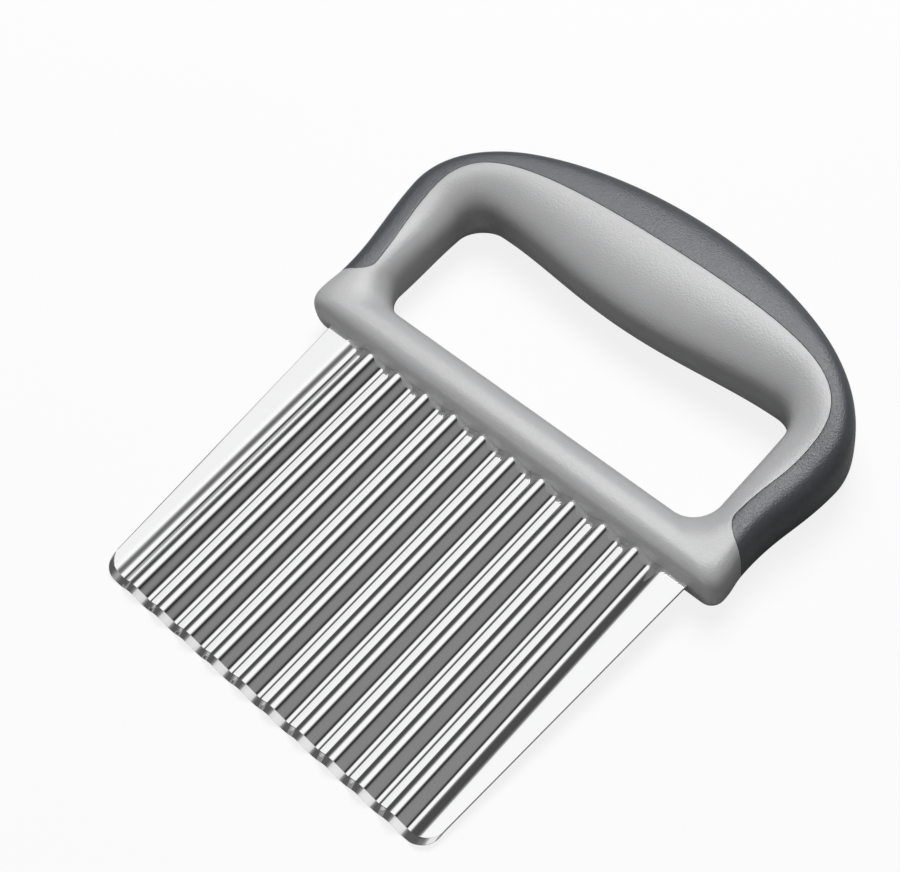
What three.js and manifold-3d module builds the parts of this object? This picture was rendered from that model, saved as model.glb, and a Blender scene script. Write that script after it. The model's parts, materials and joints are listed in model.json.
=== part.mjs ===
// A crinkle cutter: a corrugated steel blade held in a moulded D-handle with a soft grip.
// Sizes are millimetres. The tool is drawn in its own frame, X across the blade, Y from the
// cutting edge to the palm and Z out of the front face, and is then laid on its back.
import * as THREE from "three";
import { mergeVertices } from "three/addons/utils/BufferGeometryUtils.js";
import Module from "manifold-3d";

// Blade
const bladeWidth = 113.8; // at the handle
const sideTaper = 3.65; // narrowing of each side towards the cutting edge
const bladeReach = 82.8; // from the handle to the cutting edge
const sheetThickness = 0.8;
const wavePitch = 9.4;
const waveDepth = 2.3; // trough to crest of the sheet's middle
const waveRunOut = 3.6; // from the last trough to the flat margin
const leastMargin = 2.5; // the flat margin is never narrower, at the cutting edge
const bevelHeight = 1.8;
const edgeThickness = 0.2;
const bladeCorner = 5;

// Handle outline, seen from the front
const barHeight = 11.7;
const barOverhang = 7.65; // bar beyond the blade on each side
const barCorner = 3.3;
const legWidth = 16.1;
const legFlare = 2.5; // leg beyond the end of the bar
const legWaist = 3.3; // narrowing of the leg just above the bar
const waistHeight = 12;
const openingHeight = 36.3;
const openingSag = 3.3; // palm bar bellies down into the opening
const footRadius = 8;
const crownRadius = 6.5;
const palmHeight = 31.3;
const shoulderDrop = 34.2; // from the top of the palm to the start of the shoulder
const shoulderFullness = 0.545; // close to a quarter of an ellipse
const legEase = 0.45; // share of the leg over which its flare eases in and out
const bellyStart = 0.6; // shares of half the opening between which the belly swells
const bellyFull = 0.35;

// Handle sections
const barThickness = 15.2;
const legThickness = 16.9;
const palmThickness = 24.2;
const sectionPower = 2.6; // 2 is an ellipse, more is fuller
const barCrown = 0.1; // thickest place, out from the middle, as a share of the section's width
const legCrown = 0.1;
const palmCrown = 0.2;
const shellWall = 2.2;
const ribThickness = 1.6;
const ribSpacing = 20;

// Soft grip
const gripDepth = 2;
const gripLegWidth = 7.5; // parting line from the outer edge, on the legs
const gripPalmWidth = 12.8; // the same at the middle of the palm
const gripShoulderRise = 15.9; // how long the parting line runs on upwards past the legs
const gripShoulderFullness = 0.79;
const gripEndHeight = 11.6; // above the bottom of the bar
const gripEndSlope = 0.4; // how steeply each end drops towards the outside of the leg
const gripEndRadius = 3.2;

// Tang and its pins
const pinDiameter = 3;
const bossWall = 1.4;
const tangHeadroom = 1.6; // above the tang, inside the bar

// Clearances
const seam = 0.3; // between neighbouring pieces
const pinClearance = 0.15;

// Facets
const waveSteps = 10;
const runOutSteps = 4;
const cornerSteps = 5;
const partingSteps = 12;
const pinSides = 16;
const stretchSteps = { bar: 7, end: 4, foot: 3, leg: 5, shoulder: 8, palm: 8 };
const surfaceFacets = { stride: 1, steps: 20 }; // every station, points round a section
const hiddenFacets = { stride: 2, steps: 12 };
const slopeStep = 0.01; // for measuring how steep the wave is
const weldDistance = 1e-4;

// Materials
const bladeSteel = { color: 0xd6d9dc, roughness: 0.15, metalness: 1 };
const pinSteel = { color: 0xc2c5c8, roughness: 0.3, metalness: 1 };
const hardPlastic = { color: 0xb4b6b9, roughness: 0.45, metalness: 0 };
const softRubber = { color: 0x50565c, roughness: 0.7, metalness: 0 };

const halfBlade = bladeWidth / 2;
const halfEdge = halfBlade - sideTaper;
const barEnd = halfBlade + barOverhang;
const legOuter = barEnd + legFlare;
const openingHalf = legOuter - legWidth;
const openingTop = barHeight + openingHeight;
const palmBelly = openingTop - openingSag;
const palmTop = palmBelly + palmHeight;
const shoulderStart = palmTop - shoulderDrop;
const tangLength = barHeight - shellWall - tangHeadroom;
const wavesEachSide = Math.floor((halfEdge - leastMargin - waveRunOut) / wavePitch);
const lastTrough = wavesEachSide * wavePitch;
const waveEdge = lastTrough + waveRunOut;
const sheetSide = sheetThickness / 2;
const far = bladeReach + palmTop + bladeWidth; // beyond everything, for cutting tools

const wasm = await Module();
wasm.setup();

// A closed geometry as a solid that can be joined and cut.
function solid(geometry) {
  const bare = geometry.clone();
  bare.deleteAttribute("normal");
  bare.deleteAttribute("uv");
  const merged = mergeVertices(bare, weldDistance);
  return new wasm.Manifold(
    new wasm.Mesh({
      numProp: 3,
      vertProperties: new Float32Array(merged.attributes.position.array),
      triVerts: new Uint32Array(merged.index.array),
    }),
  );
}

function geometryOf(body) {
  const mesh = body.getMesh();
  const geometry = new THREE.BufferGeometry();
  geometry.setAttribute("position", new THREE.BufferAttribute(mesh.vertProperties, 3));
  geometry.setIndex(new THREE.BufferAttribute(mesh.triVerts, 1));
  geometry.computeVertexNormals();
  return geometry;
}

function indexed(points, index) {
  const geometry = new THREE.BufferGeometry();
  geometry.setAttribute("position", new THREE.Float32BufferAttribute(points, 3));
  geometry.setIndex(index);
  return geometry;
}

// A closed prism along Z over an outline in X and Y, centred on the sheet.
function prism(outline, depth) {
  const shape = new THREE.Shape(outline);
  const geometry = new THREE.ExtrudeGeometry(shape, { depth, bevelEnabled: false });
  geometry.translate(0, 0, -depth / 2);
  return solid(geometry);
}

function pinSolid(radius, length, x, y) {
  const geometry = new THREE.CylinderGeometry(radius, radius, length, pinSides);
  geometry.rotateX(Math.PI / 2);
  geometry.translate(x, y, 0);
  return solid(geometry);
}

// Corrugation: a cosine wave with a trough in the middle, which runs out to flat margins.
function waveHeight(x) {
  const out = Math.abs(x);
  if (out >= waveEdge) return 0;
  if (out <= lastTrough) return (-waveDepth / 2) * Math.cos((2 * Math.PI * out) / wavePitch);
  return (-waveDepth / 4) * (1 + Math.cos((Math.PI * (out - lastTrough)) / waveRunOut));
}

// A point on a surface that lies a given distance in front of the sheet's middle.
function besideSheet(x, distance) {
  const slope = (waveHeight(x + slopeStep) - waveHeight(x - slopeStep)) / (2 * slopeStep);
  const length = Math.hypot(1, slope);
  return new THREE.Vector2(x - (slope / length) * distance, waveHeight(x) + distance / length);
}

// Places across the sheet where it ends at a given half width. Only the flat margins change with it.
function sheetColumns(side) {
  const right = [];
  for (let k = 0.5; k < wavesEachSide * waveSteps; k++) right.push((k * wavePitch) / waveSteps);
  for (let k = 0; k <= runOutSteps; k++) right.push(lastTrough + (k * waveRunOut) / runOutSteps);
  for (let k = 1; k <= cornerSteps; k++) {
    const angle = (k / cornerSteps) * (Math.PI / 2);
    right.push(waveEdge + (side - waveEdge) * Math.sin(angle));
  }
  return [...right.map((x) => -x).reverse(), ...right];
}

// How far the rounded corner lifts the cutting edge at a place across the blade.
function cornerRise(x) {
  const into = Math.min(Math.max(Math.abs(x) - (halfEdge - bladeCorner), 0), bladeCorner);
  return bladeCorner - Math.sqrt(bladeCorner ** 2 - into ** 2);
}

// The blade is a loft of thin wavy sections: the edge, the top of the bevel ground on the front,
// a row just below the handle and the end of the tang.
function bladeSolid() {
  const atEdge = sheetColumns(halfEdge);
  const atHandle = sheetColumns(halfBlade);
  const rows = [
    { columns: atEdge, y: (x) => -bladeReach + cornerRise(x), front: edgeThickness - sheetSide },
    { columns: atEdge, y: (x) => -bladeReach + cornerRise(x) + bevelHeight, front: sheetSide },
    { columns: atHandle, y: () => -shellWall, front: sheetSide },
    { columns: atHandle, y: () => tangLength, front: sheetSide },
  ];
  const points = [];
  for (const row of rows) {
    const place = (x, distance) => {
      const at = besideSheet(x, distance);
      points.push(at.x, row.y(x), at.y);
    };
    row.columns.forEach((x) => place(x, row.front));
    row.columns.toReversed().forEach((x) => place(x, -sheetSide));
  }
  const across = atHandle.length;
  const loop = across * 2;
  const index = [];
  const quad = (a, b, c, d) => index.push(a, b, c, a, c, d);
  for (let row = 0; row + 1 < rows.length; row++) {
    for (let k = 0; k < loop; k++) {
      const next = (k + 1) % loop;
      quad(row * loop + k, row * loop + next, (row + 1) * loop + next, (row + 1) * loop + k);
    }
  }
  const top = (rows.length - 1) * loop;
  for (let k = 0; k + 1 < across; k++) {
    quad(k, loop - 1 - k, loop - 2 - k, k + 1);
    quad(top + k, top + k + 1, top + loop - 2 - k, top + loop - 1 - k);
  }
  return solid(indexed(points, index));
}

// The opening's edge and the outer edge on the right half, in matching stretches from the middle
// of the bar to the middle of the palm. Each stretch uses part of a curve, from one share to another.
function handleStretches() {
  const at = (x, y) => new THREE.Vector2(x, y);
  const quarter = Math.PI / 2;
  const foot = new THREE.EllipseCurve(
    openingHalf - footRadius, barHeight + footRadius, footRadius, footRadius, -quarter, 0,
  );
  const crown = new THREE.EllipseCurve(
    openingHalf - crownRadius, openingTop - crownRadius, crownRadius, crownRadius, 0, quarter,
  );
  const belly = new THREE.CubicBezierCurve(
    at(openingHalf - crownRadius, openingTop), at(openingHalf * bellyStart, openingTop),
    at(openingHalf * bellyFull, palmBelly), at(0, palmBelly),
  );
  const waistAt = legOuter - legWaist;
  const waistPull = (waistHeight - barCorner) / 2;
  const waist = new THREE.CubicBezierCurve(
    at(barEnd, barCorner), at(barEnd, barCorner + waistPull),
    at(waistAt, waistHeight - waistPull), at(waistAt, waistHeight),
  );
  const legPull = (shoulderStart - waistHeight) * legEase;
  const leg = new THREE.CubicBezierCurve(
    at(waistAt, waistHeight), at(waistAt, waistHeight + legPull),
    at(legOuter, shoulderStart - legPull), at(legOuter, shoulderStart),
  );
  const shoulder = new THREE.CubicBezierCurve(
    at(legOuter, shoulderStart), at(legOuter, shoulderStart + shoulderDrop * shoulderFullness),
    at(legOuter * shoulderFullness, palmTop), at(0, palmTop),
  );
  const end = new THREE.EllipseCurve(barEnd - barCorner, barCorner, barCorner, barCorner, -quarter, 0);
  const barTop = new THREE.LineCurve(at(0, barHeight), at(openingHalf - footRadius, barHeight));
  const barBottom = new THREE.LineCurve(at(0, 0), at(barEnd - barCorner, 0));
  const legInside = new THREE.LineCurve(
    at(openingHalf, barHeight + footRadius), at(openingHalf, openingTop - crownRadius),
  );
  return [
    { steps: stretchSteps.bar, inner: [barTop, 0, 1], outer: [barBottom, 0, 1] },
    { steps: stretchSteps.end, inner: [foot, 0, 0.5], outer: [end, 0, 1] },
    { steps: stretchSteps.foot, inner: [foot, 0.5, 1], outer: [waist, 0, 1] },
    { steps: stretchSteps.leg, inner: [legInside, 0, 1], outer: [leg, 0, 1] },
    { steps: stretchSteps.shoulder, inner: [crown, 0, 1], outer: [shoulder, 0, 0.5] },
    { steps: stretchSteps.palm, inner: [belly, 0, 1], outer: [shoulder, 0.5, 1] },
  ];
}

// A size that changes from the bar through the legs to the palm, by height.
function byHeight(y, atBar, atLeg, atPalm) {
  const legMiddle = (barHeight + openingTop) / 2;
  const palmMiddle = (palmBelly + palmTop) / 2;
  const toLeg = THREE.MathUtils.smoothstep(y, barHeight / 2, legMiddle);
  const toPalm = THREE.MathUtils.smoothstep(y, legMiddle, palmMiddle);
  return atBar + (atLeg - atBar) * toLeg + (atPalm - atLeg) * toPalm;
}

// Stations round the ring, each with its inner and outer edge point and the ways into the material.
function ringStations() {
  const right = [];
  const edge = ([curve, from, to], share, turn) => {
    const t = from + (to - from) * share;
    const tangent = curve.getTangent(t);
    const into = new THREE.Vector2(tangent.y * turn, -tangent.x * turn);
    return { point: curve.getPoint(t), into };
  };
  const stretches = handleStretches();
  stretches.forEach(({ steps, inner, outer }, which) => {
    const last = which === stretches.length - 1 ? steps : steps - 1;
    for (let k = 0; k <= last; k++) {
      const inside = edge(inner, k / steps, 1);
      const outside = edge(outer, k / steps, -1);
      const height = (inside.point.y + outside.point.y) / 2;
      right.push({
        inside,
        outside,
        half: byHeight(height, barThickness, legThickness, palmThickness) / 2,
        crown: byHeight(height, barCrown, legCrown, palmCrown),
      });
    }
  });
  const flip = ({ point, into }) => ({
    point: new THREE.Vector2(-point.x, point.y),
    into: new THREE.Vector2(-into.x, into.y),
  });
  const left = right
    .slice(1, -1)
    .reverse()
    .map((s) => ({ ...s, inside: flip(s.inside), outside: flip(s.outside) }));
  return [...right, ...left];
}

const stations = ringStations();

// The handle's body as a closed loft of rounded sections, set in from its surface by a wall. Each
// section leans outwards, most at its middle, so that its crown lies off the middle.
function ringSolid(inset, { stride, steps } = hiddenFacets) {
  const points = [];
  const full = (value) => Math.sign(value) * Math.abs(value) ** (2 / sectionPower);
  const sections = stations.filter((_, k) => k % stride === 0);
  for (const { inside, outside, half, crown } of sections) {
    const inner = inside.point.clone().addScaledVector(inside.into, inset);
    const outer = outside.point.clone().addScaledVector(outside.into, inset);
    for (let k = 0; k < steps; k++) {
      const angle = (2 * Math.PI * k) / steps;
      const even = (1 + full(Math.cos(angle))) / 2;
      const place = inner.clone().lerp(outer, even + crown * 4 * even * (1 - even));
      points.push(place.x, place.y, full(Math.sin(angle)) * (half - inset));
    }
  }
  const index = [];
  sections.forEach((_, section) => {
    const here = section * steps;
    const there = ((section + 1) % sections.length) * steps;
    for (let k = 0; k < steps; k++) {
      const next = (k + 1) % steps;
      index.push(here + k, there + k, there + next, here + k, there + next, here + next);
    }
  });
  return solid(indexed(points, index));
}

// The soft grip's area seen from the front: everything outside a parting line that follows the
// legs, rounds the shoulders more squarely than the handle and crosses the palm.
function gripPrism(grow) {
  const at = (x, y) => new THREE.Vector2(x, y);
  const bottom = gripEndHeight - grow;
  const radius = gripEndRadius + grow;
  const width = gripLegWidth + grow;
  const legX = legOuter - width;
  const palmY = palmTop - gripPalmWidth - grow;
  const leg = stations
    .map(({ outside }) => outside.point.clone().addScaledVector(outside.into, width))
    .filter(({ x, y }) => x > 0 && y > bottom + radius && y < shoulderStart);
  const shoulder = new THREE.CubicBezierCurve(
    at(legX, shoulderStart), at(legX, shoulderStart + gripShoulderRise),
    at(legX * gripShoulderFullness, palmY), at(0, palmY),
  );
  const right = [];
  for (let k = 0; k < cornerSteps; k++) {
    const angle = (k / cornerSteps) * (Math.PI / 2);
    right.push(at(leg[0].x + radius * (1 - Math.sin(angle)), bottom + radius * (1 - Math.cos(angle))));
  }
  right.push(at(leg[0].x, bottom + radius), ...leg, ...shoulder.getPoints(partingSteps));
  const left = right.slice(0, -1).map(({ x, y }) => at(-x, y));
  const beside = legOuter + gripLegWidth;
  const above = palmTop + gripLegWidth;
  const below = bottom - gripEndSlope * (beside - leg[0].x - radius);
  const outside = [at(-beside, below), at(-beside, above), at(beside, above), at(beside, below)];
  return prism([...right, ...left.reverse(), ...outside], far);
}

// The room for one shell: its side of the sheet as far as the tang goes, and its side of the
// parting plane everywhere else.
function shellRoom(side) {
  const plane = (side * seam) / 2;
  const face = side * (sheetSide + seam);
  const slotEnd = halfBlade + seam;
  const at = (x, z) => new THREE.Vector2(x, z);
  const parting = [
    at(-far, plane), at(-slotEnd, plane), at(-slotEnd, face),
    ...sheetColumns(halfBlade).map((x) => besideSheet(x, face)),
    at(slotEnd, face), at(slotEnd, plane), at(far, plane),
  ];
  const tangRoom = (z) => {
    const shape = new THREE.Shape([...parting, at(far, z), at(-far, z)]);
    const geometry = new THREE.ExtrudeGeometry(shape, { depth: far, bevelEnabled: false });
    geometry.rotateX(Math.PI / 2);
    geometry.translate(0, tangLength + seam, 0);
    return solid(geometry);
  };
  const half = new THREE.BoxGeometry(2 * far, 2 * far, far);
  half.translate(0, 0, plane + (side * far) / 2);
  return solid(half).subtract(tangRoom(-side * far)).add(tangRoom(side * far));
}

const pinHeight = (shellWall + tangLength) / 2;
const pinPlaces = [1 - wavesEachSide, -1, 1, wavesEachSide - 1].map((wave) => wave * wavePitch);
const pinHole = pinDiameter / 2 + pinClearance;
const seatDepth = barThickness / 2 - shellWall; // pins stop at the shells' inner faces

const body = ringSolid(0, surfaceFacets);
const inWall = ringSolid(shellWall / 2);
const grip = body.subtract(ringSolid(gripDepth)).intersect(gripPrism(0));

// Both shells before they are parted: hollow, with a bed for the grip, ribs and pin bosses.
function shellBlank() {
  const gripBed = ringSolid(-gripDepth).subtract(ringSolid(gripDepth + seam)).intersect(gripPrism(seam));
  const underGrip = ringSolid(gripDepth + seam + shellWall);
  const hollow = ringSolid(shellWall).subtract(gripPrism(seam + shellWall)).add(underGrip);
  let blank = body.subtract(hollow);
  const ribsEachSide = Math.floor((openingHalf - crownRadius) / ribSpacing);
  for (let k = -ribsEachSide; k <= ribsEachSide; k++) {
    const rib = new THREE.BoxGeometry(ribThickness, palmTop - barHeight, palmThickness);
    rib.translate(k * ribSpacing, (palmTop + barHeight) / 2, 0);
    blank = blank.add(solid(rib).intersect(inWall));
  }
  for (const x of pinPlaces) {
    blank = blank.add(pinSolid(pinDiameter / 2 + bossWall, barThickness, x, pinHeight).intersect(inWall));
    blank = blank.subtract(pinSolid(pinHole, 2 * seatDepth, x, pinHeight));
  }
  return blank.subtract(gripBed);
}

let blade = bladeSolid();
for (const x of pinPlaces) blade = blade.subtract(pinSolid(pinHole, barThickness, x, pinHeight));
const blank = shellBlank();

const tool = new THREE.Group();
function piece(name, shape, look) {
  const mesh = new THREE.Mesh(geometryOf(shape), new THREE.MeshStandardMaterial(look));
  mesh.name = name;
  tool.add(mesh);
  return mesh;
}

piece("blade", blade, bladeSteel);
const handlePieces = [
  piece("front_shell", blank.intersect(shellRoom(1)), hardPlastic),
  piece("rear_shell", blank.intersect(shellRoom(-1)), hardPlastic),
  piece("soft_grip", grip, softRubber),
];
pinPlaces.forEach((x, k) => {
  const pin = pinSolid(pinDiameter / 2, 2 * (seatDepth - seam), x, pinHeight);
  piece(`tang_pin_${k + 1}`, pin, pinSteel);
});

// The tool lies on its back: the table touches the cutting edge and the back of the palm.
function restSlope() {
  const edgeBack = -waveDepth / 2 - sheetSide;
  let steepest = 0;
  for (const { geometry } of handlePieces) {
    const place = geometry.attributes.position;
    for (let k = 0; k < place.count; k++) {
      steepest = Math.min(steepest, (place.getZ(k) - edgeBack) / (place.getY(k) + bladeReach));
    }
  }
  return steepest;
}

tool.rotation.x = -Math.atan(restSlope());
const cutter = new THREE.Group();
cutter.add(tool);
cutter.updateMatrixWorld(true);
const room = new THREE.Box3().setFromObject(tool, true);
tool.position.set(-(room.min.x + room.max.x) / 2, -(room.min.y + room.max.y) / 2, -room.min.z);

export default cutter;
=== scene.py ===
# %% [markdown]
# # A crinkle cutter
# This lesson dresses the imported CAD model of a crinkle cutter: a corrugated steel blade, a hard
# grey handle moulded in two halves, and a soft slate band round the palm. The CAD model comes in
# first, as a fixed frame. Its sizes stay as they are: Blender only rebuilds its pieces with finer
# meshes and gives them their finishes.

import json
from math import pi, radians

import bmesh
import bpy
import numpy as np
from mathutils import Matrix, Vector


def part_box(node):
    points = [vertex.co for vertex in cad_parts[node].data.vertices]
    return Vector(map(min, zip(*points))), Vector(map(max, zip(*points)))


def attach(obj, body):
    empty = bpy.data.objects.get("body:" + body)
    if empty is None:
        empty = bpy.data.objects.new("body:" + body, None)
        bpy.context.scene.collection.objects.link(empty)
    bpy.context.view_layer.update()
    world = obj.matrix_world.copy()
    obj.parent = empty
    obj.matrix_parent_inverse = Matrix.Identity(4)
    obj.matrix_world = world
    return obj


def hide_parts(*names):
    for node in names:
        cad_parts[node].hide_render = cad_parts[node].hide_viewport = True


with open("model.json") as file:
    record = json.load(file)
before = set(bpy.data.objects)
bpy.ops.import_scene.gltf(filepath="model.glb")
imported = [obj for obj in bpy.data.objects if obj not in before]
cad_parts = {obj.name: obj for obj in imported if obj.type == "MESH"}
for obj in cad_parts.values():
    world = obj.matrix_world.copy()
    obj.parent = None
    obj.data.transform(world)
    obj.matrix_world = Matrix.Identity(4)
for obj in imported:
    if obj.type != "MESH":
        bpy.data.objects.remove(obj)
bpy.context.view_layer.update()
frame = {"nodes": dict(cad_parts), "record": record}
print("CAD nodes:", ", ".join(sorted(frame["nodes"])))

# %% [markdown]
# The cutter lies on its back at a slight slope, so its own directions aren't Blender's. The record
# names two mounts on the flat margins of the blade. The line between them is the tool's X axis and
# their outward direction its Z axis, which leaves Y running from the cutting edge to the palm.
# Every shape below is written in that frame and moved into place by one matrix.

# %% The tool's own frame
MM = 0.001
SHEET_SIDE = 0.4 * MM  # half the sheet's thickness
MARGIN_DROP = 24.4 * MM  # from the handle down to the mounts

mounts = {mount["name"]: mount for mount in frame["record"]["mounts"]}
right_mount, left_mount = (Vector(mounts[f"{side}_margin"]["pos_m"]) for side in ("right", "left"))
tool_x = (right_mount - left_mount).normalized()
tool_z = Vector(mounts["right_margin"]["axis"]).normalized()
tool_y = tool_z.cross(tool_x)
tool = Matrix((tool_x, tool_y, tool_z)).transposed().to_4x4()
tool.translation = (right_mount + left_mount) / 2 + tool_y * MARGIN_DROP - tool_z * SHEET_SIDE
print("Slope of the tool on the table:", round(tool_y.z, 4))

# %% [markdown]
# Blender can grow a shape from a plain box with modifiers, but moulded and pressed goods follow
# exact curves, so here each piece is a loft: loops of points, one at each place along the piece,
# skinned with quads. A loft of a ring closes on itself. Any other ends in two caps, which pair the
# first half of the loop with the second half.

# %% Lofts and pieces
SHARP_ANGLE = radians(38)
SAME_POINT = 1e-7  # metres


def loft(loops, closed):
    places, count = loops.shape[:2]
    index = np.arange(places * count).reshape(places, count)
    beside, ahead = np.roll(index, -1, axis=1), np.roll(index, -1, axis=0)
    quads = np.stack([index, beside, np.roll(beside, -1, axis=0), ahead], axis=-1)
    faces = quads[: places if closed else places - 1].reshape(-1, 4)
    if not closed:
        half = count // 2
        for end in (index[0], index[-1]):
            near, far = end[:half], end[half:][::-1]
            faces = np.vstack([faces, np.stack([near[:-1], near[1:], far[1:], far[:-1]], axis=-1)])
    mesh = bpy.data.meshes.new("loft")
    mesh.from_pydata(loops.reshape(-1, 3).tolist(), [], faces.tolist())
    return mesh


def tidy(mesh):
    shape = bmesh.new()
    shape.from_mesh(mesh)
    bmesh.ops.remove_doubles(shape, verts=shape.verts, dist=SAME_POINT)
    bmesh.ops.recalc_face_normals(shape, faces=shape.faces)
    shape.to_mesh(mesh)
    shape.free()
    mesh.shade_smooth()
    mesh.set_sharp_from_angle(angle=SHARP_ANGLE)


def add_piece(name, mesh, node):
    mesh.name = name
    mesh.transform(tool)
    tidy(mesh)
    piece = bpy.data.objects.new(name, mesh)
    bpy.context.scene.collection.objects.link(piece)
    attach(piece, "root")
    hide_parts(node)
    print(name, "has", len(mesh.polygons), "faces and stands for", node)
    return piece


print("Creases over", round(np.degrees(SHARP_ANGLE)), "degrees stay sharp")

# %% [markdown]
# The blade is thin stainless sheet, pressed into waves that run from the handle to the cutting
# edge and fade out into a flat margin on each side. A wave drawn as a cosine has the steep flanks
# and round crests of the real pressing. The front and back are the same wave, moved out by half
# the sheet's thickness square to it, so the sheet keeps one thickness on the flanks too.

# %% The wave
PITCH = 9.4 * MM
WAVE_DEPTH = 2.3 * MM
WAVES_EACH_SIDE = 5
RUN_OUT = 3.6 * MM  # from the last trough to the flat margin
SLOPE_STEP = 0.01 * MM
last_trough = WAVES_EACH_SIDE * PITCH
wave_edge = last_trough + RUN_OUT


def wave(x):
    out = np.abs(x)
    waves = -WAVE_DEPTH / 2 * np.cos(2 * pi * out / PITCH)
    fading = np.clip((out - last_trough) / RUN_OUT, 0, 1)
    return np.where(out < last_trough, waves, -WAVE_DEPTH / 4 * (1 + np.cos(pi * fading)))


def wave_slope(x):
    return (wave(x + SLOPE_STEP) - wave(x - SLOPE_STEP)) / (2 * SLOPE_STEP)


print("Steepest flank:", round(np.degrees(np.arctan(pi * WAVE_DEPTH / PITCH)), 1), "degrees")

# %% [markdown]
# The blade is a little narrower at its cutting edge than at the handle, and only its flat margins
# take that up: the waves stay parallel. Along the lower edge the sheet is ground on the front only,
# down to a thin land, and its two corners are rounded. The loft runs upwards: the edge, the top of
# the bevel, the plain sheet, and the tang that disappears into the handle. Columns crowd together
# where the corners turn.

# %% The blade's mesh
BLADE_HALF, EDGE_HALF = 56.9 * MM, 53.25 * MM  # at the handle and at the cutting edge
REACH = 82.8 * MM  # from the handle down to the cutting edge
BEVEL = 1.8 * MM
EDGE = 0.2 * MM  # land left at the cutting edge
BLADE_CORNER = 5 * MM
TANG = 7.9 * MM
WAVE_COLUMNS = 32  # in one pitch
RUN_OUT_COLUMNS = 16
CORNER_COLUMNS = 14
BURR = 0.18 * MM  # rounding of the sheet's cut sides
BEVEL_ROWS = (0, 0.5, 0.97)  # shares of the bevel's height
SHEET_ROWS = (0, 0.004, 0.25, 0.5, 0.75, 1)  # shares of the way from the bevel to the handle
TANG_ROWS = (0.15, 1)

quarter_turn = np.linspace(0, pi / 2, CORNER_COLUMNS)
on_waves = np.concatenate([
    (np.arange(WAVES_EACH_SIDE * WAVE_COLUMNS) + 0.5) * PITCH / WAVE_COLUMNS,
    np.linspace(last_trough, wave_edge, RUN_OUT_COLUMNS),
])


def columns_to(half_width):
    """Places across the sheet, from one side to the other, where it has this half width."""
    in_from_side = np.concatenate([(half_width - wave_edge) * (1 - np.sin(quarter_turn[1:-2])),
                                   BURR * (1 - np.sin(quarter_turn))])
    right = np.concatenate([on_waves, half_width - in_from_side])
    return np.concatenate([-right[::-1], right])


def rounding(beyond, radius):
    """How far a corner of this radius falls away, at a distance past the start of its curve."""
    into = np.clip(beyond, 0, radius)
    return radius - np.sqrt(radius**2 - into**2)


def sheet_loop(half_width, y, front):
    """One loop round the sheet: along the front at this distance, then back along the rear."""
    columns = columns_to(half_width)
    lean = np.arctan(wave_slope(columns))
    loss = rounding(np.abs(columns) - half_width + BURR, BURR) * (front + SHEET_SIDE) / (2 * SHEET_SIDE)
    sides = []
    for distance in (front - loss, loss - SHEET_SIDE):
        z = wave(columns) + np.cos(lean) * distance
        sides.append(np.stack([columns - np.sin(lean) * distance, y + 0 * columns, z], axis=-1))
    return np.concatenate([sides[0], sides[1][::-1]])


edge_line = rounding(np.abs(columns_to(EDGE_HALF)) - EDGE_HALF + BLADE_CORNER, BLADE_CORNER) - REACH
loops = []
for share in BEVEL_ROWS:
    front = EDGE - SHEET_SIDE + share * (2 * SHEET_SIDE - EDGE)
    loops.append(sheet_loop(EDGE_HALF, edge_line + share * BEVEL, front))
for share in SHEET_ROWS:
    half_width = EDGE_HALF + share * (BLADE_HALF - EDGE_HALF)
    loops.append(sheet_loop(half_width, (edge_line + BEVEL) * (1 - share), SHEET_SIDE))
loops += [sheet_loop(BLADE_HALF, share * TANG, SHEET_SIDE) for share in TANG_ROWS]
blade_mesh = loft(np.array(loops), closed=False)
print("The blade has", len(edge_line), "columns and", len(loops), "rows")

# %% [markdown]
# Four pins go through the tang and lock it in the handle. Nobody sees the holes, but a sheet with
# pins pushed through solid metal would be wrong, so they are drilled with the Boolean modifier.
# The pins' places come from the CAD model.

# %% Drill the tang
HOLE_ROOM = 0.15 * MM  # round each pin
DRILL_LENGTH = 40 * MM
DRILL_SIDES = 32

wavy_blade = add_piece("wavy_blade", blade_mesh, "blade")
drills = bmesh.new()
for pin in sorted(name for name in frame["nodes"] if name.startswith("tang_pin")):
    low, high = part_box(pin)
    radius = (high.x - low.x) / 2 + HOLE_ROOM
    place = Matrix.Translation((low + high) / 2) @ tool.to_3x3().to_4x4()
    bmesh.ops.create_cone(
        drills, cap_ends=True, segments=DRILL_SIDES, radius1=radius, radius2=radius,
        depth=DRILL_LENGTH, matrix=place,
    )
drill_mesh = bpy.data.meshes.new("drills")
drills.to_mesh(drill_mesh)
drills.free()
drill = bpy.data.objects.new("drills", drill_mesh)
bpy.context.scene.collection.objects.link(drill)
cut = wavy_blade.modifiers.new("holes", "BOOLEAN")
cut.object = drill
cut_blade = wavy_blade.evaluated_get(bpy.context.evaluated_depsgraph_get())
drilled = bpy.data.meshes.new_from_object(cut_blade)
wavy_blade.modifiers.clear()
wavy_blade.data = drilled
bpy.data.objects.remove(drill)
tidy(drilled)
print("The drilled blade has", len(drilled.polygons), "faces")

# %% [markdown]
# The handle is a ring. Seen from the front it lies between two outlines: the opening for the
# fingers, and the outer edge, which runs along the bar, up the legs and over the palm. Both are
# built from lines, arcs and Bezier curves. These are Blender's curves too, but as plain functions of
# a share from 0 to 1 they can be cut into stretches and asked for any point.

# %% Curves
def bezier(a, b, c, d):
    a, b, c, d = (np.array(point) for point in (a, b, c, d))
    return lambda t: (1 - t) ** 3 * a + 3 * (1 - t) ** 2 * t * b + 3 * (1 - t) * t**2 * c + t**3 * d


def line(a, b):
    return lambda t: (1 - t) * np.array(a) + t * np.array(b)


def arc(x, y, radius, start, end):
    def point(t):
        angle = start + (end - start) * t
        return np.array([x, y]) + radius * np.concatenate([np.cos(angle), np.sin(angle)], axis=-1)
    return point


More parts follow.
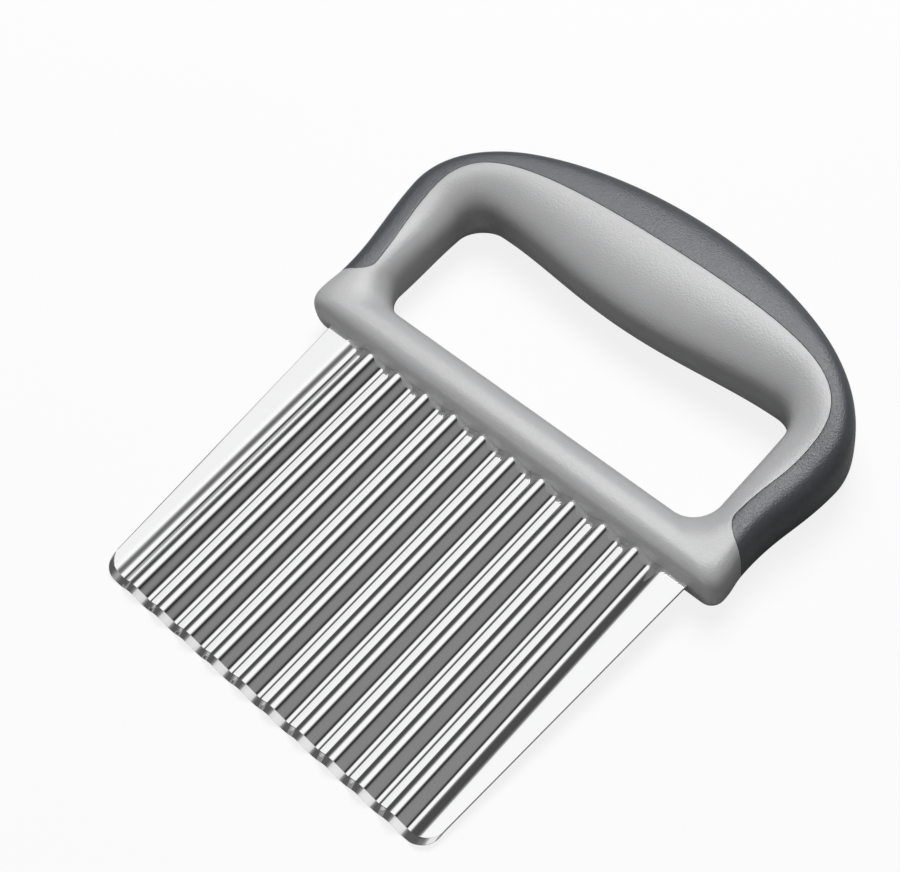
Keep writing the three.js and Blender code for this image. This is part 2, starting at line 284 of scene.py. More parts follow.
def part_of(curve, start, end):
    return lambda t: curve(start + (end - start) * t)


print("Curves to hand: lines, arcs, Bezier curves and parts of them")

# %% [markdown]
# The two outlines have matching stretches, so that a point on one always faces a point on the other:
# bar, bar end, waist, leg, shoulder and palm outside, and bar, foot, leg, crown and belly inside. The
# left half mirrors the right.

# %% The handle's outlines
BAR_HEIGHT = 11.7 * MM
BAR_END = 64.55 * MM
BAR_CORNER = 3.3 * MM
LEG_OUTER = 67.05 * MM
OPENING_HALF = 50.95 * MM
WAIST = (63.75 * MM, 12 * MM)  # the leg is slimmest here
OPENING_TOP = 48 * MM
PALM_BELLY = 44.7 * MM  # the palm bar bellies down into the opening
PALM_TOP = 76 * MM
SHOULDER_START = 41.8 * MM
FOOT_RADIUS = 8 * MM
CROWN_RADIUS = 6.5 * MM
SHOULDER_FULLNESS = 0.545  # pull of the shoulder's curve, as a share of its height and width
LEG_EASE = 0.45
BELLY_START, BELLY_FULL = 0.6, 0.35
OUTLINE_STEPS = 160  # points in each stretch

foot_x, crown_x = OPENING_HALF - FOOT_RADIUS, OPENING_HALF - CROWN_RADIUS
foot = arc(foot_x, BAR_HEIGHT + FOOT_RADIUS, FOOT_RADIUS, -pi / 2, 0)
crown = arc(crown_x, OPENING_TOP - CROWN_RADIUS, CROWN_RADIUS, 0, pi / 2)
belly = bezier((crown_x, OPENING_TOP), (BELLY_START * OPENING_HALF, OPENING_TOP),
               (BELLY_FULL * OPENING_HALF, PALM_BELLY), (0, PALM_BELLY))
leg_inside = line((OPENING_HALF, BAR_HEIGHT + FOOT_RADIUS), (OPENING_HALF, OPENING_TOP - CROWN_RADIUS))
bar_end = arc(BAR_END - BAR_CORNER, BAR_CORNER, BAR_CORNER, -pi / 2, 0)
waist_pull = (WAIST[1] - BAR_CORNER) / 2
waist = bezier((BAR_END, BAR_CORNER), (BAR_END, BAR_CORNER + waist_pull),
               (WAIST[0], WAIST[1] - waist_pull), WAIST)
leg_pull = (SHOULDER_START - WAIST[1]) * LEG_EASE
leg = bezier(WAIST, (WAIST[0], WAIST[1] + leg_pull),
             (LEG_OUTER, SHOULDER_START - leg_pull), (LEG_OUTER, SHOULDER_START))
shoulder = bezier((LEG_OUTER, SHOULDER_START),
                  (LEG_OUTER, SHOULDER_START + SHOULDER_FULLNESS * (PALM_TOP - SHOULDER_START)),
                  (SHOULDER_FULLNESS * LEG_OUTER, PALM_TOP), (0, PALM_TOP))
stretches = [
    (line((0, BAR_HEIGHT), (foot_x, BAR_HEIGHT)), line((0, 0), (BAR_END - BAR_CORNER, 0))),
    (part_of(foot, 0, 0.5), bar_end),
    (part_of(foot, 0.5, 1), waist),
    (leg_inside, leg),
    (crown, part_of(shoulder, 0, 0.5)),
    (belly, part_of(shoulder, 0.5, 1)),
]
shares = np.linspace(0, 1, OUTLINE_STEPS, endpoint=False)[:, None]
end_of_half = [np.array([[0, PALM_BELLY]]), np.array([[0, PALM_TOP]])]
inner_edge, outer_edge = (
    np.vstack([*(stretch[side](shares) for stretch in stretches), end_of_half[side]]) for side in (0, 1)
)
mirror = np.array([-1, 1])
inner_edge, outer_edge = (
    np.vstack([edge, edge[-2:0:-1] * mirror]) for edge in (inner_edge, outer_edge)
)
print("Each outline has", len(outer_edge), "points")

# %% [markdown]
# Across the ring every section is a superellipse, a rounded shape a little fuller than an ellipse.
# It is slim in the bar, thicker in the legs and thickest in the palm. Its crown, the thickest place,
# lies off the middle and nearer the outside, which leaves a long, gentle slope on the inside, where
# the fingers close. Places along the ring are counted by the length of the outer edge, so that a
# piece can ask for stations wherever it needs them. Each station carries its two edge points, the
# ways into the material, its thickness and its crown.

# %% Stations along the ring
BAR_THICK, LEG_THICK, PALM_THICK = 15.2 * MM, 16.9 * MM, 24.2 * MM
BAR_CROWN, LEG_CROWN, PALM_CROWN = 0.1, 0.1, 0.2  # off the middle, as a share of the width


def smoothstep(value, start, end):
    share = np.clip((value - start) / (end - start), 0, 1)
    return share * share * (3 - 2 * share)


def left_of(edge):
    way = np.roll(edge, -1, axis=0) - np.roll(edge, 1, axis=0)
    way /= np.linalg.norm(way, axis=1, keepdims=True)
    return np.stack([-way[:, 1], way[:, 0]], axis=-1)


middle_height = (inner_edge[:, 1] + outer_edge[:, 1]) / 2
leg_middle, palm_middle = (BAR_HEIGHT + OPENING_TOP) / 2, (PALM_BELLY + PALM_TOP) / 2
to_leg = smoothstep(middle_height, BAR_HEIGHT / 2, leg_middle)
to_palm = smoothstep(middle_height, leg_middle, palm_middle)


def by_height(at_bar, at_leg, at_palm):
    return at_bar + (at_leg - at_bar) * to_leg + (at_palm - at_leg) * to_palm


half_thick = by_height(BAR_THICK, LEG_THICK, PALM_THICK) / 2
crowns = by_height(BAR_CROWN, LEG_CROWN, PALM_CROWN)
master = np.column_stack([
    inner_edge, outer_edge, -left_of(inner_edge), left_of(outer_edge), half_thick, crowns,
])
master = np.vstack([master, master[:1]])
run = np.concatenate([[0], np.cumsum(np.linalg.norm(np.diff(master[:, 2:4], axis=0), axis=1))])


def at_run(place):
    return np.stack([np.interp(place, run, column) for column in master.T], axis=-1)


print("The outer edge is", round(run[-1] / MM), "mm round")

# %% [markdown]
# A point of the surface is an angle round its section, 0 at the outer edge and half a turn at the
# opening, and an inset below the surface. The pieces need the way back as well: the angle at a given
# height, at a given distance from the outer edge, or over a short length of surface.

# %% Points on a section
SECTION_POWER = 2.6  # 2 is an ellipse, more is fuller
ANGLE_STEP = 0.001


def full(value):
    return np.sign(value) * np.abs(value) ** (2 / SECTION_POWER)


def on_section(stations, angle, inset):
    """Points at an angle round each section, 0 at the outer edge, set in from the surface."""
    inset = inset + 0 * angle
    inner = stations[:, 0:2] + stations[:, 4:6] * inset[:, None]
    outer = stations[:, 2:4] + stations[:, 6:8] * inset[:, None]
    share = (1 + full(np.cos(angle))) / 2
    share = share + 4 * stations[:, 9] * share * (1 - share)
    flat = inner + (outer - inner) * share[:, None]
    return np.column_stack([flat, full(np.sin(angle)) * (stations[:, 8] - inset)])


def angle_at_height(stations, z, inset):
    return np.sign(z) * np.arcsin(np.abs(z / (stations[:, 8] - inset)) ** (SECTION_POWER / 2))


def angle_at_width(stations, width):
    """The angle that lies a given distance from the outer edge, seen from the front."""
    across = np.linalg.norm(stations[:, 2:4] - stations[:, 0:2], axis=1)
    share, bend = 1 - width / across, 4 * stations[:, 9]
    even_share = 2 * share / (1 + bend + np.sqrt((1 + bend) ** 2 - 4 * bend * share))
    cosine = 2 * even_share - 1
    return np.arccos(np.sign(cosine) * np.abs(cosine) ** (SECTION_POWER / 2))


def angle_for(stations, angle, length):
    """How much angle a short length along the surface takes up."""
    ends = [on_section(stations, angle + side * ANGLE_STEP, 0) for side in (-1, 1)]
    return length * 2 * ANGLE_STEP / np.linalg.norm(ends[1] - ends[0], axis=1)


bar_middle = at_run(np.zeros(1))
print("Front of the bar:", np.round(on_section(bar_middle, np.array([pi / 2]), 0)[0] / MM, 1))

# %% [markdown]
# The soft band covers the outside of the legs and the palm, front and back. Its parting line keeps
# a fixed distance from the leg's outer edge, rounds the shoulder more squarely than the handle
# does, and crosses the palm. On each leg the band ends in a straight cut with one rounded corner.
# What the pieces need from this is one number at each station: how far in the line lies.

# %% The parting line
GRIP_DEPTH = 2 * MM
GRIP_ON_LEG = 7.5 * MM
GRIP_ON_PALM = 12.8 * MM
GRIP_END = 10.5 * MM  # height of the band's ends on the outer edge
GRIP_CORNER = 3.2 * MM
GRIP_RISE = 15.9 * MM  # how far the line runs on upwards past the legs
GRIP_FULLNESS = 0.79
LINE_STEPS = 200

half_way = len(run) // 2
line_x, line_y = LEG_OUTER - GRIP_ON_LEG, PALM_TOP - GRIP_ON_PALM
over_shoulder = bezier((line_x, SHOULDER_START), (line_x, SHOULDER_START + GRIP_RISE),
                       (GRIP_FULLNESS * line_x, line_y), (0, line_y))
on_leg = (master[:, 3] < SHOULDER_START) & (master[:, 3] > 0) & (np.arange(len(run)) < half_way)
along_leg = master[on_leg, 2:4] + master[on_leg, 6:8] * GRIP_ON_LEG
parting = np.vstack([along_leg, over_shoulder(np.linspace(0, 1, LINE_STEPS)[:, None])])
parting = np.vstack([parting, parting[-2::-1] * mirror])


def line_distance(stations):
    """From the outer edge to the parting line, along the line across each station."""
    start, way = stations[:, None, 2:4], (stations[:, 0:2] - stations[:, 2:4])[:, None]
    length = np.linalg.norm(way, axis=2)
    a, side = parting[None, :-1], np.diff(parting, axis=0)[None]
    cross = way[..., 0] * side[..., 1] - way[..., 1] * side[..., 0]
    offset = a - start
    along = (offset[..., 0] * side[..., 1] - offset[..., 1] * side[..., 0]) / cross
    on_side = (offset[..., 0] * way[..., 1] - offset[..., 1] * way[..., 0]) / cross
    hit = (along > 0) & (along < 1) & (on_side >= 0) & (on_side <= 1)
    return np.where(hit, along * length, np.inf).min(axis=1)


end_run = np.interp(GRIP_END, master[on_leg, 3], run[on_leg])
print("The band's ends lie", round(end_run / MM, 1), "mm along the outer edge from the bar's middle")


def past_end(place):
    """Distance inside the band's nearer end, along the outer edge; below zero outside it."""
    return np.minimum(place - end_run, run[-1] - end_run - place)


def grip_width(place):
    inside = np.clip(past_end(place), 0, None)
    stations = at_run(np.clip(place, end_run, run[-1] - end_run))
    return line_distance(stations) - rounding(GRIP_CORNER - inside, GRIP_CORNER)


# %% [markdown]
# Where the soft band meets the hard plastic, both edges are slightly round and a thin groove stays
# between them. Each such edge is a quarter circle of geometry. In a section it goes from the
# surface, a little before the edge, to the wall below it. The two hard halves are welded to each
# other and close tightly on the blade, so between those only a hairline is left.

# %% Rounded edges
SEAM = 0.06 * MM
EDGE_ROUND = 0.1 * MM
HAIRLINE = 0.03 * MM
EDGE_STEPS = 4
edge_turns = np.linspace(0, pi / 2, EDGE_STEPS)


def edge_rows(stations, angle, way):
    """Rows of angle and inset from the surface to the edge at this angle, from the side of way."""
    reach = way * angle_for(stations, angle, EDGE_ROUND)
    return [
        (angle + reach * (1 - np.sin(turn)), EDGE_ROUND * (1 - np.cos(turn))) for turn in edge_turns
    ]


def rows_between(start, end, count):
    """Angles strictly between two others."""
    return [start + (end - start) * share for share in np.linspace(0, 1, count + 2)[1:-1]]


print("A rounded edge has", EDGE_STEPS, "rows")

# %% [markdown]
# A hard half needs stations in more than even steps: close together along the bar, where its lip
# follows the waves, on both sides of the slot's ends, and through the edge and the rounded corner
# where the band ends.

# %% Places along the hard halves
BAR_STEP, RING_STEP = 0.48 * MM, 1.1 * MM
CORNER_PLACES = 11

corner_places = GRIP_CORNER * (1 - np.cos(np.linspace(0, pi / 2, CORNER_PLACES + 1)[1:]))
edge_places = -EDGE_ROUND * (1 - np.sin(edge_turns))
slot_half = BLADE_HALF + HAIRLINE
right_places = np.concatenate([
    np.arange(0, slot_half - HAIRLINE, BAR_STEP),
    slot_half + HAIRLINE * np.array([-1, 1]) / 4,
    np.arange(slot_half + BAR_STEP, end_run - 2 * EDGE_ROUND, BAR_STEP),
    end_run - SEAM + edge_places,
    end_run - SEAM + corner_places,
    np.arange(end_run + GRIP_CORNER, run[-1] / 2, RING_STEP),
])
shell_places = np.concatenate([right_places, run[-1:] / 2, run[-1] - right_places[:0:-1]])
print("A hard half has", len(shell_places), "stations")

# %% [markdown]
# Each hard half is a hollow moulding. A section of it is one closed loop: up from the seam inside
# the opening, over the face to the parting line, down into the bed that holds the soft band, along
# the bed to the outer seam, and back along the hollow inside. Along the bar there is no bed, and
# the outer seam becomes a wavy lip that closes on the blade. The rear half is the same loop turned
# over, with the wave's other side.

# %% The two hard halves
WALL = 2.2 * MM
BED_DEPTH = GRIP_DEPTH + SEAM
WALL_LEAN = 0.3  # by which the bed's wall leans out, as a share of the edge's rounding
HOLLOW_EASE = 9 * MM  # length over which the hollow narrows behind the bed
FACE_ROWS, BED_ROWS, HOLLOW_ROWS = 26, 12, 12


def shell_mesh(side):
    stations = at_run(shell_places)
    inside = past_end(shell_places) + SEAM
    width = grip_width(shell_places) + SEAM
    base = np.where(inside > SAME_POINT, BED_DEPTH, rounding(inside + EDGE_ROUND, EDGE_ROUND))
    hollow = WALL + BED_DEPTH * smoothstep(inside, -HOLLOW_EASE, -EDGE_ROUND)
    x = stations[:, 2]
    in_slot = (np.abs(x) < slot_half) & (stations[:, 3] < BAR_CORNER / 2)
    lip = side * wave(x) + (SHEET_SIDE + HAIRLINE) * np.hypot(1, wave_slope(x))
    lip = np.where(in_slot, lip, HAIRLINE / 2)

    opening = pi - angle_at_height(stations, HAIRLINE / 2 + 0 * x, 0)
    parting_angle = angle_at_width(stations, width)
    seam_angle = angle_at_height(stations, lip, base)
    parting_rows = edge_rows(stations, parting_angle, 1)
    bed_start = parting_angle - WALL_LEAN * angle_for(stations, parting_angle, EDGE_ROUND)
    hollow_seam = angle_at_height(stations, lip, hollow)
    hollow_opening = pi - angle_at_height(stations, HAIRLINE / 2 + 0 * x, hollow)

    rows = [(opening, 0)]
    rows += [(angle, 0) for angle in rows_between(opening, parting_rows[0][0], FACE_ROWS)]
    rows += [(angle, np.minimum(inset, base)) for angle, inset in parting_rows]
    rows += [(bed_start, base)]
    rows += [(angle, base) for angle in rows_between(bed_start, seam_angle, BED_ROWS)]
    rows += [(seam_angle, base), (hollow_seam, hollow)]
    rows += [(angle, hollow) for angle in rows_between(hollow_seam, hollow_opening, HOLLOW_ROWS)]
    rows += [(hollow_opening, hollow)]
    loops = np.stack([on_section(stations, angle, inset) for angle, inset in rows], axis=1)
    return loft(loops * [1, 1, side], closed=True)


front_half = add_piece("front_half", shell_mesh(1), "front_shell")
rear_half = add_piece("rear_half", shell_mesh(-1), "rear_shell")

# %% [markdown]
# The band is a soft moulding over the outside of both halves. Its section is a thick curved strip
# from the front parting line round the outer edge to the rear one, lofted from leg to leg.

# %% The soft band
GRIP_ROWS = 56

end_places = EDGE_ROUND * (1 - np.sin(edge_turns[::-1]))
right_band = np.unique(np.concatenate([
    end_run + end_places,
    end_run + corner_places,
    np.arange(end_run + GRIP_CORNER, run[-1] / 2, RING_STEP)[1:],
]))


def band_mesh():
    places = np.concatenate([right_band, run[-1:] / 2, run[-1] - right_band[::-1]])
    stations = at_run(places)
    edge = angle_at_width(stations, grip_width(places))
    end_loss = rounding(EDGE_ROUND - past_end(places), EDGE_ROUND)
    front_rows = edge_rows(stations, edge, -1)[::-1]
    rear_rows = [(-angle, inset) for angle, inset in front_rows[::-1]]
    face = [(angle, 0) for angle in rows_between(front_rows[-1][0], rear_rows[0][0], GRIP_ROWS)]
    outside = [(angle, np.maximum(inset, end_loss)) for angle, inset in front_rows + face + rear_rows]
    inside = [(angle, GRIP_DEPTH) for angle, _ in outside[::-1]]
    loops = np.stack([on_section(stations, angle, inset) for angle, inset in outside + inside], axis=1)
    return loft(loops, closed=False)


soft_band = add_piece("soft_band", band_mesh(), "soft_grip")

# %% [markdown]
# Finishes come next. A material is a graph of nodes, and sums in it take one Math node each. This
# small class lets such sums be written as plain Python: it wraps a socket, and each operator adds
# the node that it needs. Any other node comes from one method.

# %% Shader sums
class Wire:
    """An output socket that takes part in sums."""

    def __init__(self, tree, socket):
        self.tree, self.socket = tree, socket

    def sum(self, operation, *terms):
        return self.tree.node("Math", {"operation": operation}, dict(enumerate(terms)))

    def __add__(self, other):
        return self.sum("ADD", self, other)

    def __sub__(self, other):
        return self.sum("SUBTRACT", self, other)

    def __rsub__(self, other):
        return self.sum("SUBTRACT", other, self)

    def __mul__(self, other):
        return self.sum("MULTIPLY", self, other)

    def __gt__(self, other):
        return self.sum("GREATER_THAN", self, other)

    __radd__ = __add__
    __rmul__ = __mul__


class Nodes:
    """A node tree that grows by one node at a time."""

    def __init__(self, owner):
        owner.use_nodes = True
        self.tree = owner.node_tree
        self.tree.nodes.clear()

    def node(self, kind, settings=None, sockets=None, out=0):
        node = self.tree.nodes.new("ShaderNode" + kind)
        for name, value in (settings or {}).items():
            if name == "stops":
                self.set_stops(node.color_ramp.elements, value)
            else:
                setattr(node, name, value)
        for name, value in (sockets or {}).items():
            if isinstance(value, Wire):
                self.tree.links.new(value.socket, node.inputs[name])
            else:
                node.inputs[name].default_value = value
        return Wire(self, node.outputs[out]) if len(node.outputs) else node

    @staticmethod
    def set_stops(elements, stops):
        while len(elements) < len(stops):
            elements.new(1)
        for element, (place, shade) in zip(elements, stops):
            element.position = place
            element.color = (shade, shade, shade, 1)


print("Sums on wires: +, -, * and >")

# %% [markdown]
# Some steps come back in several finishes: a new material with an empty graph, a colour between two
# others, a ramp between two values, and the question which ray is asking. Each gets a function, so
# that the finishes below show only what is their own.

# %% Steps that finishes share
def finish(name):
    material = bpy.data.materials.new(name)
    return material, Nodes(material)


def blend(nodes, factor, first, second):
    """A colour between two others."""
    sockets = {"Factor": factor, "A": first, "B": second}
    return nodes.node("Mix", {"data_type": "RGBA"}, sockets, "Result")


def ramp(nodes, value, start, end):
    """0 up to the start, 1 from the end on."""
    return nodes.node("MapRange", None, {"Value": value, "From Min": start, "From Max": end}, "Result")


def rays(nodes):
    """Which ray asks: one from the camera, or one mirrored by metal or let through by glass."""
    camera_ray = nodes.node("LightPath", out="Is Camera Ray")
    outputs = camera_ray.socket.node.outputs
    glossy, through = (Wire(nodes, outputs[f"Is {kind} Ray"]) for kind in ("Glossy", "Transmission"))
    return camera_ray, glossy.sum("MAXIMUM", glossy, through)


print("Shared steps:", ", ".join(step.__name__ for step in (finish, blend, ramp, rays)))

# %% [markdown]
# The hard plastic is a light neutral grey. Its mould was etched, which leaves a fine pebbled grain
# that breaks up the highlights. Two sizes of noise give that grain as a bump, and a slow, faint
# third one keeps the colour and the gloss from being perfectly even.

# %% Hard grey plastic
HARD_LIGHT, HARD_DARK = (0.53, 0.532, 0.54, 1), (0.48, 0.482, 0.49, 1)
HARD_CLOUDS = 90  # in a metre
HARD_ROUGHNESS, CLOUD_ROUGHNESS = 0.3, 0.1
GRAIN_SIZE = 0.5 * MM
FINER, FINER_SHARE = 2.7, 0.5  # scale and height of the smaller pebbles


def moulded_grain(nodes, place, size, depth, strength):
    """A bump like an etched mould's: pebbles of a given size with finer ones between them."""
    coarse = nodes.node("TexNoise", None, {"Vector": place, "Scale": 1 / size, "Detail": 2}, "Fac")
    fine = nodes.node("TexNoise", None, {"Vector": place, "Scale": FINER / size, "Detail": 1}, "Fac")
    return nodes.node("Bump", None, {
        "Height": coarse + fine * FINER_SHARE, "Distance": depth, "Strength": strength,
    }, "Normal")


hard_plastic, nodes = finish("hard_grey_plastic")
place = nodes.node("TexCoord", out="Object")
cloud = nodes.node("TexNoise", None, {"Vector": place, "Scale": HARD_CLOUDS, "Detail": 3}, "Fac")
shader = nodes.node("BsdfPrincipled", None, {
    "Base Color": blend(nodes, cloud, HARD_DARK, HARD_LIGHT),
    "Roughness": cloud * CLOUD_ROUGHNESS + HARD_ROUGHNESS,
    "Normal": moulded_grain(nodes, place, GRAIN_SIZE, depth=0.08 * MM, strength=0.8),
    "Specular IOR Level": 0.6,
})
nodes.node("OutputMaterial", None, {"Surface": shader})
for half in (front_half, rear_half):
    half.data.materials.append(hard_plastic)
print("Both halves wear", hard_plastic.name)

# %% [markdown]
# The band is a soft rubbery plastic in slate grey. It has the same kind of grain as the hard halves,
# a little deeper, and a weak sheen at grazing angles.

# %% Soft slate rubber
SOFT_LIGHT, SOFT_DARK = (0.08, 0.087, 0.097, 1), (0.062, 0.068, 0.077, 1)
SOFT_CLOUDS = 120  # in a metre
SOFT_ROUGHNESS = 0.29

soft_rubber, nodes = finish("soft_slate_rubber")
place = nodes.node("TexCoord", out="Object")
cloud = nodes.node("TexNoise", None, {"Vector": place, "Scale": SOFT_CLOUDS, "Detail": 4}, "Fac")
shader = nodes.node("BsdfPrincipled", None, {
    "Base Color": blend(nodes, cloud, SOFT_DARK, SOFT_LIGHT),
    "Roughness": cloud * CLOUD_ROUGHNESS + SOFT_ROUGHNESS,
    "Normal": moulded_grain(nodes, place, GRAIN_SIZE, depth=0.1 * MM, strength=1),
    "Specular IOR Level": 0.5, "Sheen Weight": 0.1, "Sheen Roughness": 0.4,
})
nodes.node("OutputMaterial", None, {"Surface": shader})
soft_band.data.materials.append(soft_rubber)
print("The band wears", soft_rubber.name)

# %% [markdown]
# The blade is polished stainless steel. Rolling leaves very faint lines along the sheet, which show
# as streaks in the gloss, so a noise is squeezed across the blade and stretched along it. The
# ground bevel is duller, and its upper limit isn't quite straight. Where on the blade a point lies
# is its distance along the tool's Y axis, which one dot product gives.

# %% Polished steel
STEEL = (0.97, 0.971, 0.974, 1)
STREAK_SHADE = 0.97  # of the steel's colour
STREAK_SIZE, STREAK_STRETCH = 0.25 * MM, 60
STREAK_DEPTH = 0.002 * MM
POLISH, STREAK_ROUGHNESS, BEVEL_ROUGHNESS = 0.025, 0.03, 0.06
GRIND_WOBBLE = 0.1 * MM  # unevenness of the bevel's upper limit
GRIND_WOBBLES = 400  # in a metre


def in_tool(nodes, place, axis):
    """The distance of a point from the tool's origin along one of its axes."""
    away = nodes.node("VectorMath", {"operation": "SUBTRACT"}, {0: place, 1: tool.translation})
    return nodes.node("VectorMath", {"operation": "DOT_PRODUCT"}, {0: away, 1: axis}, "Value")


polished_steel, nodes = finish("polished_blade_steel")
place = nodes.node("TexCoord", out="Object")
across, along, outward = (in_tool(nodes, place, axis) for axis in (tool_x, tool_y, tool_z))
streak_place = nodes.node("CombineXYZ", None, {
    "X": across * (1 / STREAK_SIZE),
    "Y": along * (1 / STREAK_SIZE / STREAK_STRETCH),
    "Z": outward * (1 / STREAK_SIZE),
})
streaks = nodes.node("TexNoise", None, {"Vector": streak_place, "Scale": 1, "Detail": 3}, "Fac")
wobble = nodes.node("TexNoise", None, {"Vector": place, "Scale": GRIND_WOBBLES}, "Fac")
on_bevel = (BEVEL - REACH + wobble * GRIND_WOBBLE) > along
streak_tint = (*(STREAK_SHADE * channel for channel in STEEL[:3]), 1)
shader = nodes.node("BsdfPrincipled", None, {
    "Base Color": blend(nodes, streaks, streak_tint, STEEL),
    "Metallic": 1,
    "Roughness": streaks * STREAK_ROUGHNESS + POLISH + on_bevel * BEVEL_ROUGHNESS,
    "Normal": nodes.node("Bump", None, {
        "Height": streaks, "Distance": STREAK_DEPTH, "Strength": 0.15,
    }, "Normal"),
})
nodes.node("OutputMaterial", None, {"Surface": shader})
wavy_blade.data.materials.clear()
wavy_blade.data.materials.append(polished_steel)
print("The blade wears", polished_steel.name)

# %% [markdown]
# The four pins are pieces of drawn steel wire inside the bar. They keep their CAD meshes and take a
# duller steel, finely speckled.

# %% Pin steel
PIN_LIGHT, PIN_DARK = (0.66, 0.67, 0.68, 1), (0.5, 0.51, 0.52, 1)
PIN_SPECKS = 2500  # in a metre
PIN_ROUGHNESS = 0.2

pin_steel, nodes = finish("drawn_pin_steel")
place = nodes.node("TexCoord", out="Object")
specks = nodes.node("TexNoise", None, {"Vector": place, "Scale": PIN_SPECKS, "Detail": 2}, "Fac")
shader = nodes.node("BsdfPrincipled", None, {
    "Base Color": blend(nodes, specks, PIN_DARK, PIN_LIGHT),
    "Metallic": 1,
    "Roughness": (specks + 1) * PIN_ROUGHNESS,
})
nodes.node("OutputMaterial", None, {"Surface": shader})
pins = [node for name, node in frame["nodes"].items() if name.startswith("tang_pin")]
for pin in pins:
    pin.data.materials.clear()
    pin.data.materials.append(pin_steel)
print(len(pins), "pins wear", pin_steel.name)

# %% [markdown]
# The stage is a plain white floor. Light that comes back from it would fill the shaded sides of the
# handle, so it is white only where the camera sees it, and darker for other rays. Part of its white
# is a glow that no shadow darkens. Further out the glow takes over, for reflections too, and the
# floor fades into the background.

# %% Floor
FLOOR_SIZE = 6
FLOOR_WHITE, FLOOR_BOUNCE = (0.97, 0.97, 0.97, 1), (0.35, 0.35, 0.35, 1)
FLOOR_GLOW = 0.85  # share of the glow near the cutter
FLOOR_DROP = 0.1 * MM  # leaves the finer meshes clear of the floor
FADE_START, FADE_END = 0.15, 0.6  # metres from the middle of the cutter
floor_mesh = bpy.data.meshes.new("floor")
corner = FLOOR_SIZE / 2
floor_corners = [(-corner, -corner, 0), (corner, -corner, 0), (corner, corner, 0), (-corner, corner, 0)]
floor_mesh.from_pydata(floor_corners, [], [(0, 1, 2, 3)])
floor = bpy.data.objects.new("floor", floor_mesh)
floor.location.z = -FLOOR_DROP
bpy.context.scene.collection.objects.link(floor)
floor_paint, nodes = finish("white_floor")
in_view, mirrored = rays(nodes)
lit = nodes.node("BsdfDiffuse", None, {"Color": blend(nodes, in_view, FLOOR_BOUNCE, FLOOR_WHITE)})
glow = nodes.node("Emission", None, {"Color": (1, 1, 1, 1), "Strength": 1})
place = nodes.node("TexCoord", out="Object")
distance = nodes.node("VectorMath", {"operation": "LENGTH"}, {0: place}, "Value")
far = ramp(nodes, distance, FADE_START, FADE_END)
glowing = in_view * (far * (1 - FLOOR_GLOW) + FLOOR_GLOW) + mirrored * far
shader = nodes.node("MixShader", None, {0: glowing, 1: lit, 2: glow})
nodes.node("OutputMaterial", None, {"Surface": shader})
floor_mesh.materials.append(floor_paint)
print("The floor is", FLOOR_SIZE, "m wide and wears", floor_paint.name)

# %% [markdown]
# The light is that of a plain studio: one large lamp high above the palm, which leaves the sides
# that face the cutting edge in shade, and a weak one opposite. A narrow strip low over the blade
# stands for the light that the steel throws back at the bar. Light linking keeps all lamps off the
# steel itself, because the world below gives it better things to reflect.

# %% Lamps
def lit_group(name, pieces):
    group = bpy.data.collections.new(name)
    for piece in pieces:
        group.objects.link(piece)
    return group


def add_lamp(name, place, target, size, power, lit):
    """A soft lamp of a given width and height, placed and aimed in the tool's own frame."""
    data = bpy.data.lights.new(name, "AREA")
    data.shape = "RECTANGLE"
    data.size, data.size_y = size
    data.energy = power
    lamp = bpy.data.objects.new(name, data)
    lamp.location = tool @ Vector(place)
    aim = tool @ Vector(target) - lamp.location
    lamp.rotation_euler = aim.to_track_quat("-Z", "Y").to_euler()
    lamp.visible_camera = False
    lamp.light_linking.receiver_collection = lit
    bpy.context.scene.collection.objects.link(lamp)
    return lamp


hard_pieces = lit_group("hard_pieces", [front_half, rear_half])
not_steel = lit_group("not_steel", [front_half, rear_half, soft_band, floor])
lamps = [  # place, target, width and height in metres, watts, and what it lights
    add_lamp("key", (-0.2, 0.38, 0.9), (0, 0.02, 0), (0.6, 0.6), 9.2, not_steel),
    add_lamp("fill", (0.17, -0.3, 0.94), (0, 0.02, 0), (0.6, 0.6), 0.5, not_steel),
    add_lamp("strip", (0, -0.1, 0.012), (0, 0, 0.004), (0.19, 0.012), 0.034, hard_pieces),
]
print("Lamps:", ", ".join(lamp.name for lamp in lamps))

# %% [markdown]
# Polished metal shows its surroundings, so the studio needs some. A white screen hangs over the
# blade, with a dark gap and then a grey wall to its right, and darkness to its left. The bevel looks
# lower, past the cutting edge, and finds another screen there on the right. Still lower, where the
# blade looks when it is seen from behind, the first screen comes back. The world shows these in
# reflections only. The camera sees plain white, and other rays get an even, weak light.

# %% The studio round the blade
OVER_BLADE = [  # degrees from straight over the blade, to the right, and how light it is there
    (-180, 0.2), (-90, 0.18), (-80, 0.07), (-58, 0.07), (-46, 0.22), (-38, 0.45), (-33, 0.92),
    (-10, 1.0), (9, 1.0), (14, 0.6), (20, 0.2), (25, 0.03), (33, 0.03), (38, 0.14), (44, 0.23),
    (70, 0.25), (180, 0.2),
]
BELOW_EDGE = [
    (-180, 0.1), (-20, 0.1), (8, 0.14), (18, 0.35), (26, 0.8), (60, 0.85), (90, 0.5), (180, 0.1),
]
LOW_START, LOW_END = -0.1, -0.25  # how far forwards a ray points where the lower screen takes over
LOWEST_START, LOWEST_END = -0.5, -0.65  # and where it stops
AMBIENT = (0.02, 0.02, 0.02, 1)
WHITE = (1, 1, 1, 1)


def as_stops(places):
    return [(degrees / 360 + 0.5, shade) for degrees, shade in places]


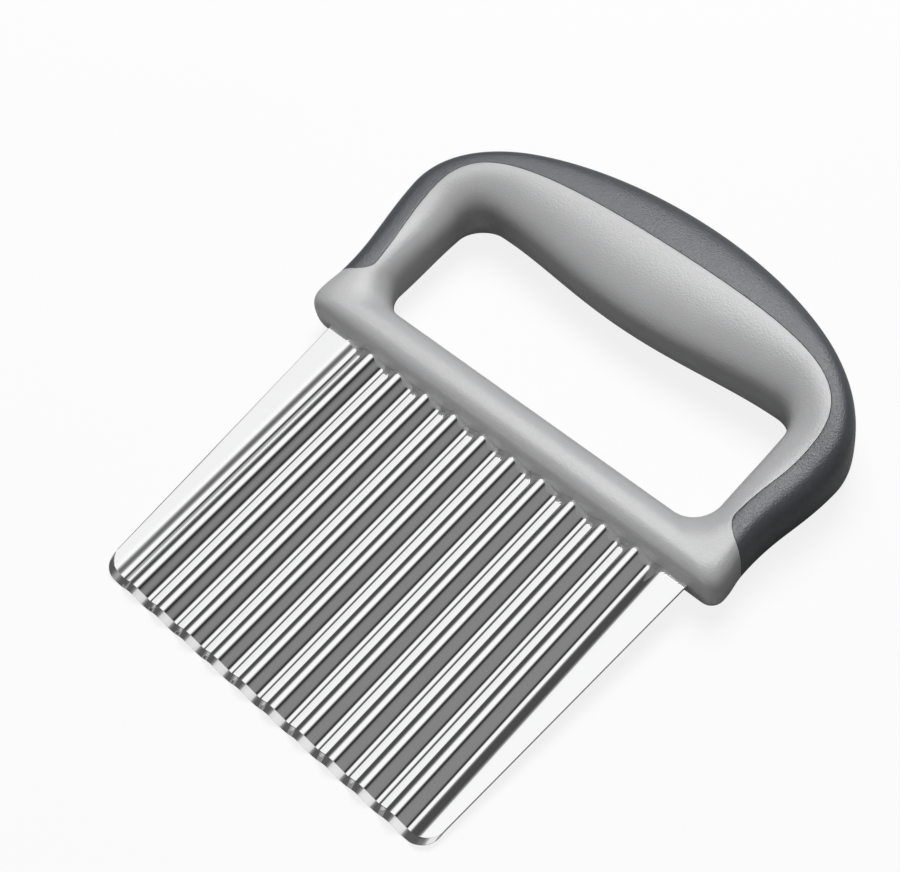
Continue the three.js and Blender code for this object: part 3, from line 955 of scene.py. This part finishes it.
world = bpy.data.worlds.new("studio")
bpy.context.scene.world = world
nodes = Nodes(world)
way = nodes.node("TexCoord", out="Generated")
sideways, forwards, upwards = (
    nodes.node("VectorMath", {"operation": "DOT_PRODUCT"}, {0: way, 1: axis}, "Value")
    for axis in (tool_x, tool_y, tool_z)
)
turn = sideways.sum("ARCTAN2", sideways, upwards) * (1 / (2 * pi)) + 0.5
over_blade, below_edge = (
    nodes.node("ValToRGB", {"stops": as_stops(places)}, {"Fac": turn}, "Color")
    for places in (OVER_BLADE, BELOW_EDGE)
)
low_down = ramp(nodes, forwards, LOW_START, LOW_END) - ramp(nodes, forwards, LOWEST_START, LOWEST_END)
studio = blend(nodes, low_down, over_blade, below_edge)
in_view, mirrored = rays(nodes)
seen = blend(nodes, in_view, blend(nodes, mirrored, AMBIENT, studio), WHITE)
background = nodes.node("Background", None, {"Color": seen, "Strength": 1})
nodes.node("OutputWorld", None, {"Surface": background})
print("The world has", len(world.node_tree.nodes), "nodes")

# %% [markdown]
# The camera stands where the photograph was taken from: to the right of the blade, above it and a
# little towards the cutting edge, with the frame rolled so that the waves run down to the left.

# %% Camera
CAMERA_PLACE = (167.776, -122.993, 358.038)  # millimetres, in the tool's frame
CAMERA_AHEAD = Vector((-0.42942, 0.28304, -0.85761))
CAMERA_RIGHT = Vector((0.72608, 0.67290, -0.14148))
FOCAL_PIXELS = 1746.9
IMAGE_WIDTH = 900

camera_data = bpy.data.cameras.new("camera")
camera_data.lens = FOCAL_PIXELS / IMAGE_WIDTH * camera_data.sensor_width
camera = bpy.data.objects.new("camera", camera_data)
camera_up = CAMERA_RIGHT.cross(CAMERA_AHEAD).normalized()
camera_right = CAMERA_AHEAD.cross(camera_up).normalized()
turn = Matrix((camera_right, camera_up, -CAMERA_AHEAD.normalized())).transposed().to_4x4()
turn.translation = Vector(CAMERA_PLACE) * MM
camera.matrix_world = tool @ turn
bpy.context.scene.collection.objects.link(camera)
bpy.context.scene.camera = camera
bpy.context.scene.view_settings.view_transform = "Standard"
print("Lens:", round(camera_data.lens, 1), "mm")
